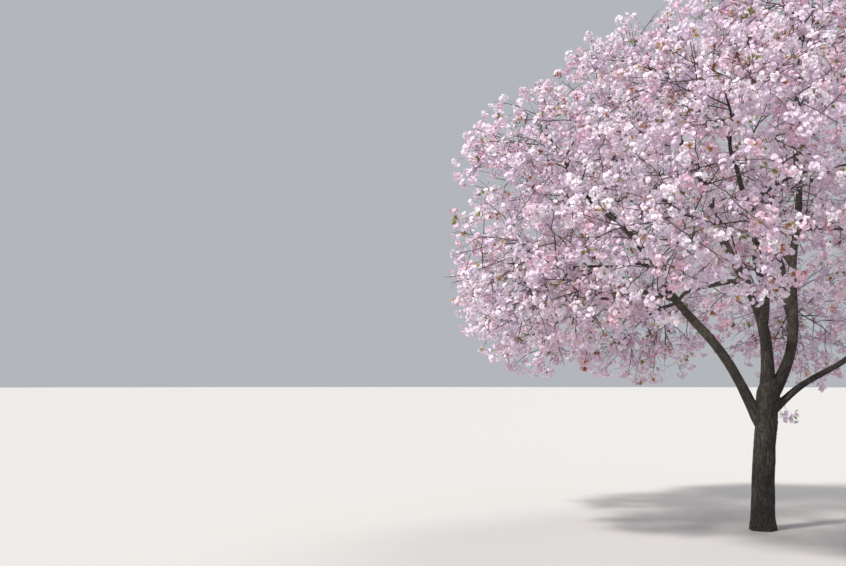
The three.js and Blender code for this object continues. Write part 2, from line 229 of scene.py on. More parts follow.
# Flowers and leaves
FLOWER_RADIUS = 0.029
FLOWER_SIZES = (0.84, 1.14)
FLOWER_PLACES = ((1, 8), (5, 62), (4, 112))  # rings of flowers: count, degrees from the cluster's tip
MEAN_FLOWERS = 6.2
OPEN_SHARE = 0.94
PLACE_SCATTER = 0.18
PLACE_REACH = (0.75, 1.15)
FACE_SCATTER = 0.25
WHORLS = ((7, 0, -0.42), (5, 0.3, 0.02), (3, 0.8, 0.1))  # rim points, turn and height of the middle
OUTLINES = (  # the outer petals' rim and the inner whorl's: radii and heights, taken in turn
    (((1, 0.84, 0.96), (0.04, 0.24, 0.12)), ((0.68, 0.56, 0.64), (0.44, 0.28, 0.38))),
    (((1, 0.9, 0.8, 0.97), (0.16, 0.02, 0.26, 0.1)), ((0.6, 0.66, 0.5), (0.34, 0.48, 0.3))),
    (((0.92, 0.78), (0.3, 0.5)), ((0.5, 0.42), (0.6, 0.42))),
)
HEART_RIM = ((0.3, 0.24), (0.42, 0.5))
LEAFY_SHARE = 0.15
LEAVES_IN_TUFT = 6
LEAF_LENGTH = 0.055
LEAF_SIZES = (0.6, 1.25)
LEAF_SCATTER = 0.55
LEAF_STALK = 0.03
LEAF_EDGE = ((0.22, 0.1, 0.3), (0.25, 0.16, 0.62))  # half width, rise and place along a leaf of length 1
LEAF_TIP = (0, 0.18, 1)
LEAF_MIDRIB = (0, 0.03, 0.5)

# Bark's form
VOXEL = 0.0095
BURIED = 0.06
TRUNK_ROWS = 120
TRUNK_COLUMNS = 80
BOUGH_COLUMNS = 20
BRANCH_COLUMNS = 9
RING_STEP = 0.028
LEAST_RINGS = 6
COLLAR = 0.32
COLLAR_LENGTH = 0.11
HIDDEN_IN_TRUNK = TRUNK_RADIUS * 1.25  # how much of a limb's way lies inside its parent
HIDDEN_IN_BOUGH = 0.06
HIDDEN_OF_BRANCH = 0.03
NO_COLLAR = -1  # counts from a metre before the limb's foot, where a collar has died away
SMOOTHING_TURNS = 12
SMOOTHING_STEPS = (0.5, -0.53)
OLD_BARK_FROM, OLD_BARK_TO = 0.25, 1.3  # metres up a bough over which its cracks give way to rings
LUMP_SCALE, LUMP_HEIGHT = (6, 6, 4), 0.07  # heights and depths are shares of the limb's radius
FISSURE_SCALE, FISSURE_DEPTH, PLATE_HEIGHT = (24, 24, 5), 0.18, 0.05
RIDGE_SCALE, RIDGE_HEIGHT = (10, 10, 38), 0.035
FOOT_FADE = 0.01

# Petals, leaves and twigs
MOST_TRIANGLES = 190_000
FLOWER_TINTS = (
    ("white", (0.94, 0.87, 0.94)),
    ("lilac", (0.86, 0.745, 0.88)),
    ("pink", (0.88, 0.68, 0.79)),
    ("rose", (0.84, 0.57, 0.7)),
)
TINT_SHARES = (0.38, 0.38, 0.19, 0.05)
INNER_PALING = 0.4
HEART_COLOUR = (0.81, 0.54, 0.6)
LEAF_TINTS = (("bronze", (0.36, 0.13, 0.035)), ("golden", (0.52, 0.3, 0.055)), ("olive", (0.25, 0.26, 0.05)))
LEAF_SHARES = (0.34, 0.33, 0.33)
PETAL_ROUGHNESS = 0.62
PETAL_SHEEN = 0.15
PETAL_GLOW, LEAF_GLOW = 0.32, 0.3
TWIG_TINTS = (("old", (0.06, 0.045, 0.034)), ("young", (0.045, 0.026, 0.018)), ("stalk", (0.1, 0.09, 0.03)))
TWIG_TONES = ((0.36, 0.55), (0.66, 1.6))
TWIG_ROUGHNESS = 0.7
TWIG_RINGS, TWIG_SIDES, FINE_SIDES = 5, 4, 3

# Noise in the bark: stretch, scale, detail and roughness. Ramps: places, colours. Bumps: strength, depth
CRACKS = ((1, 1, 0.2), 75, 6, 0.7)
BARK_RINGS = ((0.16, 0.16, 1), 120, 4, 0.6)
PATCHES = ((1, 1, 0.7), 7, 5, 0.6)
TWIG_PATCHES = ((1, 1, 1), 60, 3, 0.5)
# Trunk bark colours: darker than the boughs' and near black in the cracks. This is partly the older bark's
# own colour and partly painted shade, in the cracks and under the crown.
TRUNK_RAMP_WITH_PAINTED_SHADE = ((0.36, (0.003, 0.0024, 0.002)), (0.5, (0.019, 0.0165, 0.013)), (0.66, (0.08, 0.07, 0.054)))
BOUGH_RAMP = ((0.34, (0.01, 0.0075, 0.006)), (0.47, (0.04, 0.032, 0.025)), (0.66, (0.12, 0.105, 0.08)))
PATCH_RAMP = ((0.36, (0.55, 0.52, 0.5)), (0.52, (1, 1, 1)), (0.68, (1.5, 1.52, 1.3)))
MIX_INPUTS, MIX_OUTPUT = (0, 6, 7), 2  # a mix node's sockets for its share, its two colours and the result
BARK_ROUGHNESS = (0.95, 0.7)
BARK_BUMP = (0.8, 0.006)
TWIG_BUMP = (0.5, 0.001)

# The photograph's camera, with the horizon's row
FOCAL_PIXELS = 996
FRAME_WIDTH, FRAME_HEIGHT = 846, 566
HORIZON_ROW = 382
CAMERA_PLACE = (-3.601, -10.756, 1.56)
SENSOR_WIDTH = 36

# Stage: lamps are name, bearing, rise, strength, softness in degrees and colour
FLOOR_RADIUS = 300
FLOOR_SIDES = 96
FLOOR_COLOUR = (0.48, 0.475, 0.46)
FLOOR_ROUGHNESS = 0.9
SKY_COLOUR = (0.9, 0.94, 1.0)
SKY_STRENGTH = 0.5
LAMPS = (
    ("key", 215, 50, 4.3, 8, (1.0, 0.97, 0.93)),
    ("back", 60, 45, 1.2, 25, (1.0, 0.96, 0.95)),
)


# The solids' rule, written again


def seeded(seed):
    """Numbers from 0 to 1 by a linear congruential rule, as the solids' source draws them."""
    state = (seed * 2654435761 + 12345) % 2**32
    while True:
        state = (state * 1664525 + 1013904223) % 2**32
        yield state / 2**32


def unit(v):
    return v / norm(v)


def units(v):
    """Each of many directions at length 1."""
    return v / norm(v, axis=-1, keepdims=True)


def heading(bearing, rise):
    b, r = math.radians(bearing), math.radians(rise)
    return np.array([math.cos(b) * math.cos(r), math.sin(b) * math.cos(r), math.sin(r)])


def square_to(direction):
    level = UP if abs(direction[2]) < STEEP else ACROSS
    side = unit(np.cross(level, direction))
    return side, unit(np.cross(direction, side))


def leaning(direction, spread, turn):
    side, over = square_to(direction)
    around = side * math.cos(turn) + over * math.sin(turn)
    return unit(direction * math.cos(spread) + around * math.sin(spread))


def crooked(start, leave, end, arrive, bend):
    """The curve of a limb or stem, as a function of a share or shares of its way."""
    length = norm(end - start)
    handles = [start, start + leave * length * LEAVING_PULL, end - arrive * length * ARRIVING_PULL, end]
    side, over = square_to(unit(end - start))
    side_waves, over_waves = CROOK_WAVES

    def curve(share):
        t = np.asarray(share, float)[..., None]
        weights = [(1 - t) ** 3, 3 * (1 - t) ** 2 * t, 3 * (1 - t) * t**2, t**3]
        away = length * CROOK * np.sin(math.pi * t)
        sideways = side * away * np.sin(side_waves * math.pi * t + bend)
        return sum(w * h for w, h in zip(weights, handles)) + (
            sideways + over * away * np.cos(over_waves * math.pi * t + bend)
        )

    return curve


def shares(steps):
    return np.linspace(0, 1, steps + 1)


@dataclass
class Limb:
    """A limb or twig: the solids' points and radii, and the smooth curve through them."""

    name: str
    points: np.ndarray
    radii: np.ndarray
    curve: object = None
    order: int = 0

    def along(self, share):
        last = len(self.points) - 1
        k = min(int(share * last), last - 1)
        part = share * last - k
        point = self.points[k] * (1 - part) + self.points[k + 1] * part
        radius = self.radii[k] * (1 - part) + self.radii[k + 1] * part
        return point, unit(self.points[k + 1] - self.points[k]), radius

    def at_height(self, height):
        k = int(np.argmax(self.points[:, 2] > height))
        below, above = self.points[k - 1], self.points[k]
        return below + (above - below) * (height - below[2]) / (above[2] - below[2])

    def radii_at(self, spots):
        return np.interp(spots, shares(len(self.radii) - 1), self.radii)

    def length(self):
        return float(norm(np.diff(self.points, axis=0), axis=1).sum())


@dataclass
class Mass:
    """One mass of the crown: an ellipsoid that is round in plan."""

    name: str
    centre: np.ndarray
    size: np.ndarray
    limb: Limb = None
    twigs: list = field(default_factory=list)


def trunk_axis(share):
    share = np.asarray(share, float)
    return np.stack([TRUNK_LEAN * share**TRUNK_SWEEP, 0 * share, share * FORK_HEIGHT], -1)


def trunk_radius(share):
    share = np.asarray(share, float)
    swell = 1 + FORK_SWELL * np.exp(-(((share - SWELL_AT) / SWELL_SPREAD) ** 2))
    round_off = np.maximum(share - HEAD_FROM, 0) / (1 - HEAD_FROM)
    return TRUNK_RADIUS * (1 - TRUNK_TAPER * (share - 0.5)) * swell * (1 - HEAD_ROUNDING * round_off**2)


def place_masses():
    random = seeded(CROWN_SEED)
    x, y = CROWN_CENTRE
    masses = []
    for ring, count, height, out, across, half, turn, tilt in RINGS:
        for i in range(count):
            bearing = FULL_TURN * (i + turn) / count
            east, north = math.cos(bearing), math.sin(bearing)
            even = np.array([x + out * east, y + out * north, height - tilt * north])
            stray = np.array([(next(random) - 0.5) * SWAY * across for _ in range(3)])
            masses.append(Mass(f"blossom_{ring}_{i + 1}", even + stray, np.array([across, across, half])))
    return masses


def levels(points):
    """For each point, its level in every mass: 0 at the middle and 1 at the edge."""
    points = np.atleast_2d(points)
    return norm((points[:, None] - CENTRES) / SIZES, axis=2)


def is_inside(mass, points):
    """Whether each point is in the mass's own space."""
    level = levels(points)
    own = level[:, mass]
    others = np.delete(level, mass, axis=1).min(axis=1)
    return (own < 1) & (others > own + SEAM)


def is_clear(points, room):
    points = np.atleast_2d(points)
    way = SEGMENT_ENDS - SEGMENT_STARTS
    share = ((points[:, None] - SEGMENT_STARTS) * way).sum(2) / (way * way).sum(1)
    nearest = SEGMENT_STARTS + way * np.clip(share, 0, 1)[..., None]
    distance = norm(points[:, None] - nearest, axis=2) - SEGMENT_RADII
    return distance.min(axis=1) > room + LIMB_CLEARANCE


def entry_to(mass, start):
    for k in range(1, round(1 / ENTRY_STEP)):
        point = start + (mass.centre - start) * k * ENTRY_STEP
        if norm((point - mass.centre) / mass.size) < ENTRY_LEVEL:
            return point
    return mass.centre


def make_limb(name, start, leave, mass, first, last, steps, bend):
    end = entry_to(mass, start)
    arrive = unit(unit(mass.centre - end) * (1, 1, ARRIVING_RISE))
    curve = crooked(start, leave, end, arrive, bend)
    limb = Limb(name, curve(shares(steps)), np.linspace(first, last, steps + 1), curve)
    mass.limb = limb
    return limb


def make_boughs(trunk):
    made = {"trunk": trunk}
    for name, (parent, height, bearing, rise, bend, to, first, last) in BOUGHS.items():
        mass = next(m for m in masses if m.name == to)
        start = made[parent].at_height(height)
        made[name] = make_limb(name, start, heading(bearing, rise), mass, first, last, BOUGH_STEPS, bend)
    return list(made.values())[1:]


def branch_cost(way, direction):
    length = norm(way)
    turn = math.acos(np.clip(direction @ way / length, -1, 1))
    falls = way[2] < length * FALLING
    return length * (1 + TURN_COST * turn) + FALL_COST * falls + SHORT_COST * (length < SHORT_WAY)


def best_place(boughs, mass, taken):
    places = []
    for bough in boughs:
        for k in range(round((ATTACH_TO - ATTACH_FROM) / ATTACH_STEP) + 1):
            point, direction, radius = bough.along(ATTACH_FROM + k * ATTACH_STEP)
            if all(norm(p - point) >= ATTACH_SPACING for p in taken):
                way = entry_to(mass, point) - point
                places.append((branch_cost(way, direction), point, direction, radius, way))
    return min(places, key=lambda place: place[0])[1:]


def make_branches(boughs):
    taken, made = [], []
    for i, mass in enumerate([m for m in masses if m.limb is None]):
        point, direction, radius, way = best_place(boughs, mass, taken)
        taken.append(point)
        first = max(radius * BRANCH_SHARE, LEAST_BRANCH_RADIUS)
        leave = unit(direction * BRANCH_FOLLOW + unit(way))
        name = mass.name.replace("blossom", "branch")
        last = first * BRANCH_TAPER
        made.append(make_limb(name, point, leave, mass, first, last, BRANCH_STEPS, i * BRANCH_BEND))
    return made


def free_steps(free):
    """How many steps come before the first that isn't free."""
    return len(free) if free.all() else int(np.argmin(free))


def reach(index, start, direction, radius, end_room):
    """How far a twig can go in the mass and clear of the limbs, less the room kept at its end."""
    steps = math.ceil((LONGEST_TWIG + SPRAY_LENGTH / 2) / REACH_STEP)
    ways = start + direction * REACH_STEP * np.arange(1, steps + 1)[:, None]
    free = is_inside(index, ways) & is_clear(ways, radius)
    return REACH_STEP * free_steps(free) - end_room


def twig_points(start, direction, length, steps):
    points = [start]
    way = direction
    for _ in range(steps):
        points.append(points[-1] + way * length / steps)
        way = unit(way - UP * TWIG_DROOP)
    return np.array(points)


def wavering(points, start, bend):
    """A curve near two or three points that starts at start, with a twig's slight wavering."""
    length = norm(points[-1] - points[0])
    side, over = square_to(unit(points[-1] - points[0]))
    side_turns, over_turns = WAVER_TURNS

    def curve(share):
        t = np.asarray(share, float)[..., None]
        if len(points) == 2:
            way = points[0] * (1 - t) + points[1] * t
        else:
            first, middle, last = points
            way = first * (2 * t - 1) * (t - 1) + middle * 4 * t * (1 - t) + last * t * (2 * t - 1)
        away = length * TWIG_WAVER * np.sin(math.pi * t)
        strays = side * away * np.sin(side_turns * t + bend) + over * away * np.cos(over_turns * t + bend)
        return way + (start - points[0]) * (1 - t) + strays

    return curve


def add_twig(twigs, parent, share, direction, length, radii, order):
    if length < LEAST_TWIG:
        return None
    points = twig_points(parent.along(share)[0], direction, length, len(radii) - 1)
    if any(norm(other.points[-1] - points[-1]) < END_SPACING for other in twigs):
        return None
    curve = wavering(points, parent.curve(share), len(twigs) * GOLDEN_ANGLE)
    twig = Limb("twig", points, np.array(radii), curve, order)
    twigs.append(twig)
    return twig


def make_stem(index, mass, bend):
    tip = mass.limb.points[-1]
    radius = mass.limb.radii[-1] * STEM_FIT
    onwards = unit(tip - mass.limb.points[-2])
    root = tip + onwards * JOINT_GAP
    far_side = mass.centre * (1 + STEM_SHARE) - tip * STEM_SHARE
    bends_from = root + onwards * STEM_ROOT
    bent = crooked(bends_from, onwards, far_side, unit(far_side - mass.centre), bend)
    points = [root, *bent(shares(STEM_STEPS))]
    radii = [radius, *np.linspace(radius, STEM_TIP_RADIUS, STEM_STEPS + 1)]
    while len(points) > 2 and not is_inside(index, points[-1])[0]:
        points.pop()
    steps = len(points) - 1

    def curve(share):
        part = np.asarray(share, float)[..., None] * steps
        straight = root + (bends_from - root) * np.minimum(part, 1)
        return np.where(part < 1, straight, bent(np.maximum(part[..., 0] - 1, 0) / STEM_STEPS))

    return Limb("stem", np.array(points), np.array(radii[: len(points)]), curve)


def grow_twigs(index, mass):
    random = seeded(index + 1)
    stem = make_stem(index, mass, FULL_TURN * next(random))
    twigs = [stem]
    first_turn = FULL_TURN * next(random)
    for i in range(SIDE_TWIGS):
        share = i / (SIDE_TWIGS - 1)
        at = FIRST_SIDE_AT + (LAST_SIDE_AT - FIRST_SIDE_AT) * share
        point, direction, _ = stem.along(at)
        spread = (SIDE_SPREAD - SPREAD_FALL * share) * (1 + SPREAD_CHANCE * (next(random) - 0.5))
        way = leaning(direction, spread, first_turn + i * GOLDEN_ANGLE)
        length = min(reach(index, point, way, SIDE_RADII[0], SPRAY_LENGTH / 2), LONGEST_TWIG)
        side = add_twig(twigs, stem, at, way, length, SIDE_RADII, 1)
        first_sub_turn = FULL_TURN * next(random)
        if side is None:
            continue
        for k, sub_at in enumerate(SUB_TWIGS_AT):
            start, onwards, _ = side.along(sub_at)
            sub_way = leaning(onwards, SUB_SPREAD, first_sub_turn + k * GOLDEN_ANGLE)
            free = reach(index, start, sub_way, SUB_RADII[0], SPRAY_LENGTH / 2)
            add_twig(twigs, side, sub_at, sub_way, min(free, SUB_SHARE * length), SUB_RADII, 2)
    return twigs


# Finer twigs


def is_free(index, points, edge):
    """Whether each point is in the crown and nearest to its own mass, or for a shoot on a limb, to any."""
    level = levels(points)
    blended = -np.log(np.exp(-CLEFT_FILL * level).sum(axis=1)) / CLEFT_FILL
    if index is None:
        return blended < edge
    others = np.delete(level, index, axis=1).min(axis=1)
    return (blended < edge) & (others > level[:, index] + SEAM)


def fine_reach(index, start, way, wish):
    """How much of the length that it wishes for a finer twig can have."""
    ways = start + way * wish * np.arange(1, FINE_STEPS + 1)[:, None] / FINE_STEPS
    free = is_free(index, ways, FINE_LEVEL) & is_clear(ways, 0)
    return wish * free_steps(free) / FINE_STEPS


def jointed(points):
    """A twig's way straight from joint to joint."""
    spots = shares(len(points) - 1)

    def curve(share):
        return np.stack([np.interp(share, spots, points[:, axis]) for axis in range(3)], -1)

    return curve


def fine_twig(start, way, length, kind, rng):
    """A twig that turns a little at each joint, and back at the next."""
    spots = shares(kind.joints)[:, None]
    bow = UP * rng.uniform(*TWIG_BOW)
    zigzag = rng.normal(0, ZIGZAG, 3) * np.resize([0, 1, -1], kind.joints + 1)[:, None]
    points = start + (way * spots + bow * np.sin(math.pi * spots) + zigzag) * length
    return Limb("shoot", points, np.linspace(*kind.radii, kind.joints + 1), jointed(points), kind.order)


def grow_along(index, parents, kind, rng):
    """Finer twigs along the given ones, and one that carries on from each tip."""
    made = []
    for parent in parents:
        count = max(int(parent.length() / kind.spacing), 1)
        turn = rng.uniform(0, FULL_TURN)
        for k in range(count + 1):
            share = min(FIRST_FINE_AT + (1 - FIRST_FINE_AT) * k / count, 1)
            start = parent.curve(share)
            ahead = parent.curve(min(share + LOOK_AHEAD, 1.0))
            onwards = unit(ahead - parent.curve(min(share, 1 - LOOK_AHEAD)))
            at_tip = k == count
            angle = rng.uniform(0, TIP_TURN) if at_tip else kind.spread * rng.uniform(*SPREAD_SHARES)
            way = leaning(onwards, angle, turn + k * GOLDEN_ANGLE)
            free = fine_reach(index, start, way, rng.uniform(*kind.lengths))
            if at_tip:
                free = max(free, SHORTEST_SHOOT)
            if free >= SHORTEST_SHOOT:
                made.append(fine_twig(start, way, free, kind, rng))
    return made


def fill_in(index, mass, rng):
    """More side twigs, where the ends of the ones so far leave room."""
    ends = [twig.points[-1] for twig in mass.twigs]
    made = []
    for _ in range(FILL_TRIES):
        parent = mass.twigs[rng.integers(len(mass.twigs))]
        share = rng.uniform(*FILL_SHARES)
        start, onwards, _ = parent.along(share)
        way = leaning(onwards, rng.uniform(*FILL_SPREADS), rng.uniform(0, FULL_TURN))
        length = min(reach(index, start, way, FILL_RADII[0], FILL_END), FILL_LONGEST)
        end = start + way * length
        if length < LEAST_TWIG or min(norm(other - end) for other in ends) < FILL_SPACING:
            continue
        ends.append(end)
        points = twig_points(start, way, length, len(FILL_RADII) - 1)
        curve = wavering(points, parent.curve(share), len(ends) * GOLDEN_ANGLE)
        made.append(Limb("fill", points, np.array(FILL_RADII), curve, 2))
    return made


def limb_shoots(limb, bare, rng):
    """Shoots on a limb's own bark, past its bare part."""
    made = []
    count = int(limb.length() * (1 - bare) / LIMB_SHOOT_SPACING)
    turn = rng.uniform(0, FULL_TURN)
    for k in range(count):
        share = bare + (1 - bare) * (k + rng.uniform()) / count
        start, onwards, radius = limb.along(share)
        way = leaning(onwards, rng.uniform(*FILL_SPREADS), turn + k * GOLDEN_ANGLE)
        wish = rng.uniform(*LIMB_SHOOT_LENGTHS)
        past_bark = start + way * (radius + 2 * LIMB_CLEARANCE)
        free = fine_reach(None, past_bark, way, wish)
        if free > SHORTEST_SHOOT:
            made.append(fine_twig(limb.curve(share), way, free, SHOOT, rng))
    return made


def wood_of_mass(index, mass, rng):
    """All the twigs of a mass, its stem first."""
    twigs = [*mass.twigs, *fill_in(index, mass, rng)]
    for twig in twigs:
        twig.radii[-1] = SHOOT.radii[0]  # as its tip runs on into a shoot
    shoots = grow_along(index, twigs, SHOOT, rng)
    return [*twigs, *shoots, *grow_along(index, shoots, TWIGLET, rng)]


def wood_on_limbs(rng):
    """The twigs that grow on the boughs and branches themselves."""
    shoots = []
    for limb in [*boughs, *branches]:
        bare = BARE_OF_BOUGH if limb in boughs else BARE_OF_BRANCH
        shoots += limb_shoots(limb, bare, rng)
    for name, share, bearing, rise, length in LOW_SHOOTS:
        limb = next(one for one in boughs if one.name == name)
        shoots.append(fine_twig(limb.curve(share), heading(bearing, rise), length, SHOOT, rng))
    return [*shoots, *grow_along(None, shoots, TWIGLET, rng)]


# Meshes from arrays


@dataclass
class Shape:
    """Points and triangles, with a number for each triangle's material."""

    points: np.ndarray
    triangles: np.ndarray
    looks: np.ndarray


def plain_shape(points, triangles):
    return Shape(points.reshape(-1, 3), triangles, np.zeros(len(triangles), int))


def join(shapes):
    offsets = np.cumsum([0] + [len(s.points) for s in shapes[:-1]])
    return Shape(
        np.concatenate([s.points for s in shapes]),
        np.concatenate([s.triangles + o for s, o in zip(shapes, offsets)]),
        np.concatenate([s.looks for s in shapes]),
    )


def copies(template, places, turns, scales, looks):
    """The template at each place, turned by a matrix and scaled, with each copy's materials by part."""
    points = np.einsum("nij,vj->nvi", turns * scales[:, None, None], template.points) + places[:, None]
    offsets = np.arange(len(places))[:, None, None] * len(template.points)
    triangles = template.triangles[None] + offsets
    return Shape(points.reshape(-1, 3), triangles.reshape(-1, 3), looks[:, template.looks].reshape(-1))


def add_object(name, data):
    made = bpy.data.objects.new(name, data)
    bpy.context.scene.collection.objects.link(made)
    return made


def to_object(name, shape, materials, smooth=False):
    mesh = bpy.data.meshes.new(name)
    count = len(shape.triangles)
    mesh.vertices.add(len(shape.points))
    mesh.vertices.foreach_set("co", shape.points.astype(np.float32).ravel())
    mesh.loops.add(count * 3)
    mesh.loops.foreach_set("vertex_index", shape.triangles.astype(np.int32).ravel())
    mesh.polygons.add(count)
    mesh.polygons.foreach_set("loop_start", np.arange(0, count * 3, 3, dtype=np.int32))
    mesh.polygons.foreach_set("material_index", shape.looks.astype(np.int32))
    mesh.polygons.foreach_set("use_smooth", np.full(count, smooth))
    mesh.update(calc_edges=True)
    for material in materials:
        mesh.materials.append(material)
    return add_object(name, mesh)


def in_pieces(name, shape, materials, smooth=False):
    """The shape as pieces of under the most triangles."""
    made = []
    total = len(shape.triangles)
    parts = math.ceil(total / MOST_TRIANGLES)
    for k in range(parts):
        own = slice(total * k // parts, total * (k + 1) // parts)
        used, renumbered = np.unique(shape.triangles[own], return_inverse=True)
        part = Shape(shape.points[used], renumbered.reshape(-1, 3), shape.looks[own])
        made.append(to_object(f"{name}_{k + 1}" if parts > 1 else name, part, materials, smooth))
    return made


def tube_rings(points, radii, sides):
    """Rings round many routes at once: points is (routes, rings, 3) and radii is (routes, rings)."""
    tangents = units(np.gradient(points, axis=1))
    whole = points[:, -1] - points[:, 0]
    steep = np.abs(whole[:, 2]) > STEEP_ROUTE * norm(whole, axis=1)
    level = np.where(steep[:, None], ACROSS, UP)[:, None]
    side = units(np.cross(level, tangents))
    over = np.cross(tangents, side)
    angles = FULL_TURN * np.arange(sides) / sides
    around = side[:, :, None] * np.cos(angles)[:, None] + over[:, :, None] * np.sin(angles)[:, None]
    return points[:, :, None] + around * radii[:, :, None, None]


def skin(rings, sides):
    """The triangles between rings of points that are numbered ring by ring."""
    k, i = np.meshgrid(np.arange(rings - 1), np.arange(sides), indexing="ij")
    a = (k * sides + i).ravel()
    b = (k * sides + (i + 1) % sides).ravel()
    return np.concatenate([np.stack([a, b, b + sides], 1), np.stack([a, b + sides, a + sides], 1)])


def tubes(points, radii, sides):
    """Tubes round many routes, open at both ends, as one shape."""
    routes, rings, _ = points.shape
    offsets = np.arange(routes)[:, None, None] * rings * sides
    triangles = (skin(rings, sides)[None] + offsets).reshape(-1, 3)
    return plain_shape(tube_rings(points, radii, sides), triangles)


def closed_tube(rows, first, last):
    """A closed skin over rings of points, with its two ends fanned to a point."""
    rings, sides, _ = rows.shape
    i = np.arange(sides)
    j = (i + 1) % sides
    top = (rings - 1) * sides
    first_end, last_end = np.full(sides, rings * sides), np.full(sides, rings * sides + 1)
    ends = [np.stack([j, i, first_end], 1), np.stack([top + i, top + j, last_end], 1)]
    points = np.vstack([rows.reshape(-1, 3), first, last])
    return plain_shape(points, np.concatenate([skin(rings, sides), *ends]))


def fan(outline, centre, look):
    """Triangles from a centre to an outline of points."""
    count = len(outline)
    triangles = np.array([[i, (i + 1) % count, count] for i in range(count)])
    return Shape(np.vstack([outline, centre]), triangles, np.full(count, look))


def rim(count, radii, heights, turn):
    """A ring of points whose radius and height take the given values in turn."""
    angles = turn + FULL_TURN * np.arange(count) / count
    radius = np.resize(radii, count)
    return np.stack([radius * np.cos(angles), radius * np.sin(angles), np.resize(heights, count)], 1)


def facing(directions, rng):
    """Turning matrices whose +Z goes to the given directions, turned about it by chance."""
    level = np.where(np.abs(directions[:, 2:]) < STEEP, UP, ACROSS)
    side = units(np.cross(level, directions))
    over = np.cross(directions, side)
    turn = rng.uniform(0, FULL_TURN, len(directions))[:, None]
    turned = side * np.cos(turn) + over * np.sin(turn)
    return np.stack([turned, np.cross(directions, turned), directions], axis=2)


# Materials


class Surface:
    """A new material, with short calls to add its nodes and to set or link their inputs."""

    def __init__(self, name):
        self.material = bpy.data.materials.new(name)
        self.material.use_nodes = True
        self.tree = self.material.node_tree
        self.shader = self.tree.nodes["Principled BSDF"]

    def feed(self, node, inputs):
        """Links each input whose value is another node's output, and sets the others."""
        for key, value in inputs.items():
            if isinstance(value, bpy.types.NodeSocket):
                self.tree.links.new(value, node.inputs[key])
            else:
                node.inputs[key].default_value = value

    def add(self, kind, inputs):
        node = self.tree.nodes.new(f"ShaderNode{kind}")
        self.feed(node, inputs)
        return node

    def attribute(self, name, output):
        node = self.add("Attribute", {})
        node.attribute_name = name
        return node.outputs[output]

    def place(self):
        return self.add("TexCoord", {}).outputs["Object"]

    def noise(self, source, stretch, scale, detail, roughness):
        mapping = self.add("Mapping", {"Vector": source, "Scale": stretch})
        inputs = {"Scale": scale, "Detail": detail, "Roughness": roughness}
        return self.add("TexNoise", {"Vector": mapping.outputs["Vector"], **inputs}).outputs["Fac"]

    def ramp(self, source, stops):
        node = self.add("ValToRGB", {"Fac": source})
        elements = node.color_ramp.elements
        while len(elements) < len(stops):
            elements.new(0.5)
        for element, (at, colour) in zip(elements, stops):
            element.position = at
            element.color = (*colour, 1)
        return node.outputs["Color"]

    def mixed(self, kind, share, first, second):
        node = self.add("Mix", {})
        node.data_type = "RGBA"
        node.blend_type = kind
        self.feed(node, dict(zip(MIX_INPUTS, (share, first, second))))
        return node.outputs[MIX_OUTPUT]

    def bump(self, height, strength, depth):
        node = self.add("Bump", {"Height": height, "Strength": strength, "Distance": depth})
        self.feed(self.shader, {"Normal": node.outputs["Normal"]})


def petal_material(name, colour, glow=PETAL_GLOW):
    """Thin petals or leaves: soft and a little satin, with light that comes through them."""
    surface = Surface(name)
    own, shader = (*colour, 1), surface.shader
    surface.feed(shader, {"Base Color": own, "Roughness": PETAL_ROUGHNESS, "Sheen Weight": PETAL_SHEEN})
    through = surface.add("BsdfTranslucent", {"Color": own})
    both = surface.add("MixShader", {"Fac": glow, 1: shader.outputs["BSDF"], 2: through.outputs["BSDF"]})
    surface.feed(surface.tree.nodes["Material Output"], {"Surface": both.outputs["Shader"]})
    return surface.material


def flower_materials():
    """One for the outer petals of each tint, a paler one for the inner, and one for all hearts."""
    made = []
    for name, colour in FLOWER_TINTS:
        paler = [c + (1 - c) * INNER_PALING for c in colour]
        made += [petal_material(f"petals_{name}", colour), petal_material(f"inner_petals_{name}", paler)]
    return [*made, petal_material("flower_hearts", HEART_COLOUR)]


def twig_material(name, colour):
    """Twig bark: lighter and darker in small patches, with a slight relief."""
    surface = Surface(name)
    patches = surface.noise(surface.place(), *TWIG_PATCHES)
    tones = [(at, [part * share for part in colour]) for at, share in TWIG_TONES]
    surface.feed(surface.shader, {"Base Color": surface.ramp(patches, tones), "Roughness": TWIG_ROUGHNESS})
    surface.bump(patches, *TWIG_BUMP)
    return surface.material


def bark_material():
    """Grey-brown bark: upright cracks on the trunk, pale rings on the boughs, and olive-grey patches. The
    trunk's bark is darker than the boughs' and near black in its cracks: partly its own colour, partly
    painted shade.
    """
    surface = Surface("bark")
    straight = surface.attribute("straight", "Vector")
    old = surface.attribute("old", "Fac")
    cracks = surface.noise(straight, *CRACKS)
    rings = surface.noise(straight, *BARK_RINGS)
    patches = surface.noise(surface.place(), *PATCHES)
    # The trunk's colours carry painted shade, darkest in its cracks, and blend into the boughs' ringed bark.
    by_age_and_painted_shade = surface.mixed("MIX", old, surface.ramp(rings, BOUGH_RAMP), surface.ramp(cracks, TRUNK_RAMP_WITH_PAINTED_SHADE))
    colour = surface.mixed("MULTIPLY", 1.0, by_age_and_painted_shade, surface.ramp(patches, PATCH_RAMP))
    lowest, highest = BARK_ROUGHNESS
    roughness = surface.add("MapRange", {"Value": rings, "To Min": lowest, "To Max": highest})
    surface.feed(surface.shader, {"Base Color": colour, "Roughness": roughness.outputs["Result"]})
    surface.bump(surface.mixed("MIX", old, rings, cracks), *BARK_BUMP)
    return surface.material


# Bark


def foot_swell(angles, heights):
    """How much wider the trunk is near the ground, with a lobe above each root."""
    foot = np.exp(-np.maximum(heights, 0) / FLARE_HEIGHT)
    return 1 + foot * (FLARE + LOBE_DEPTH * np.cos(FLARE_LOBES * angles + LOBE_TURN))


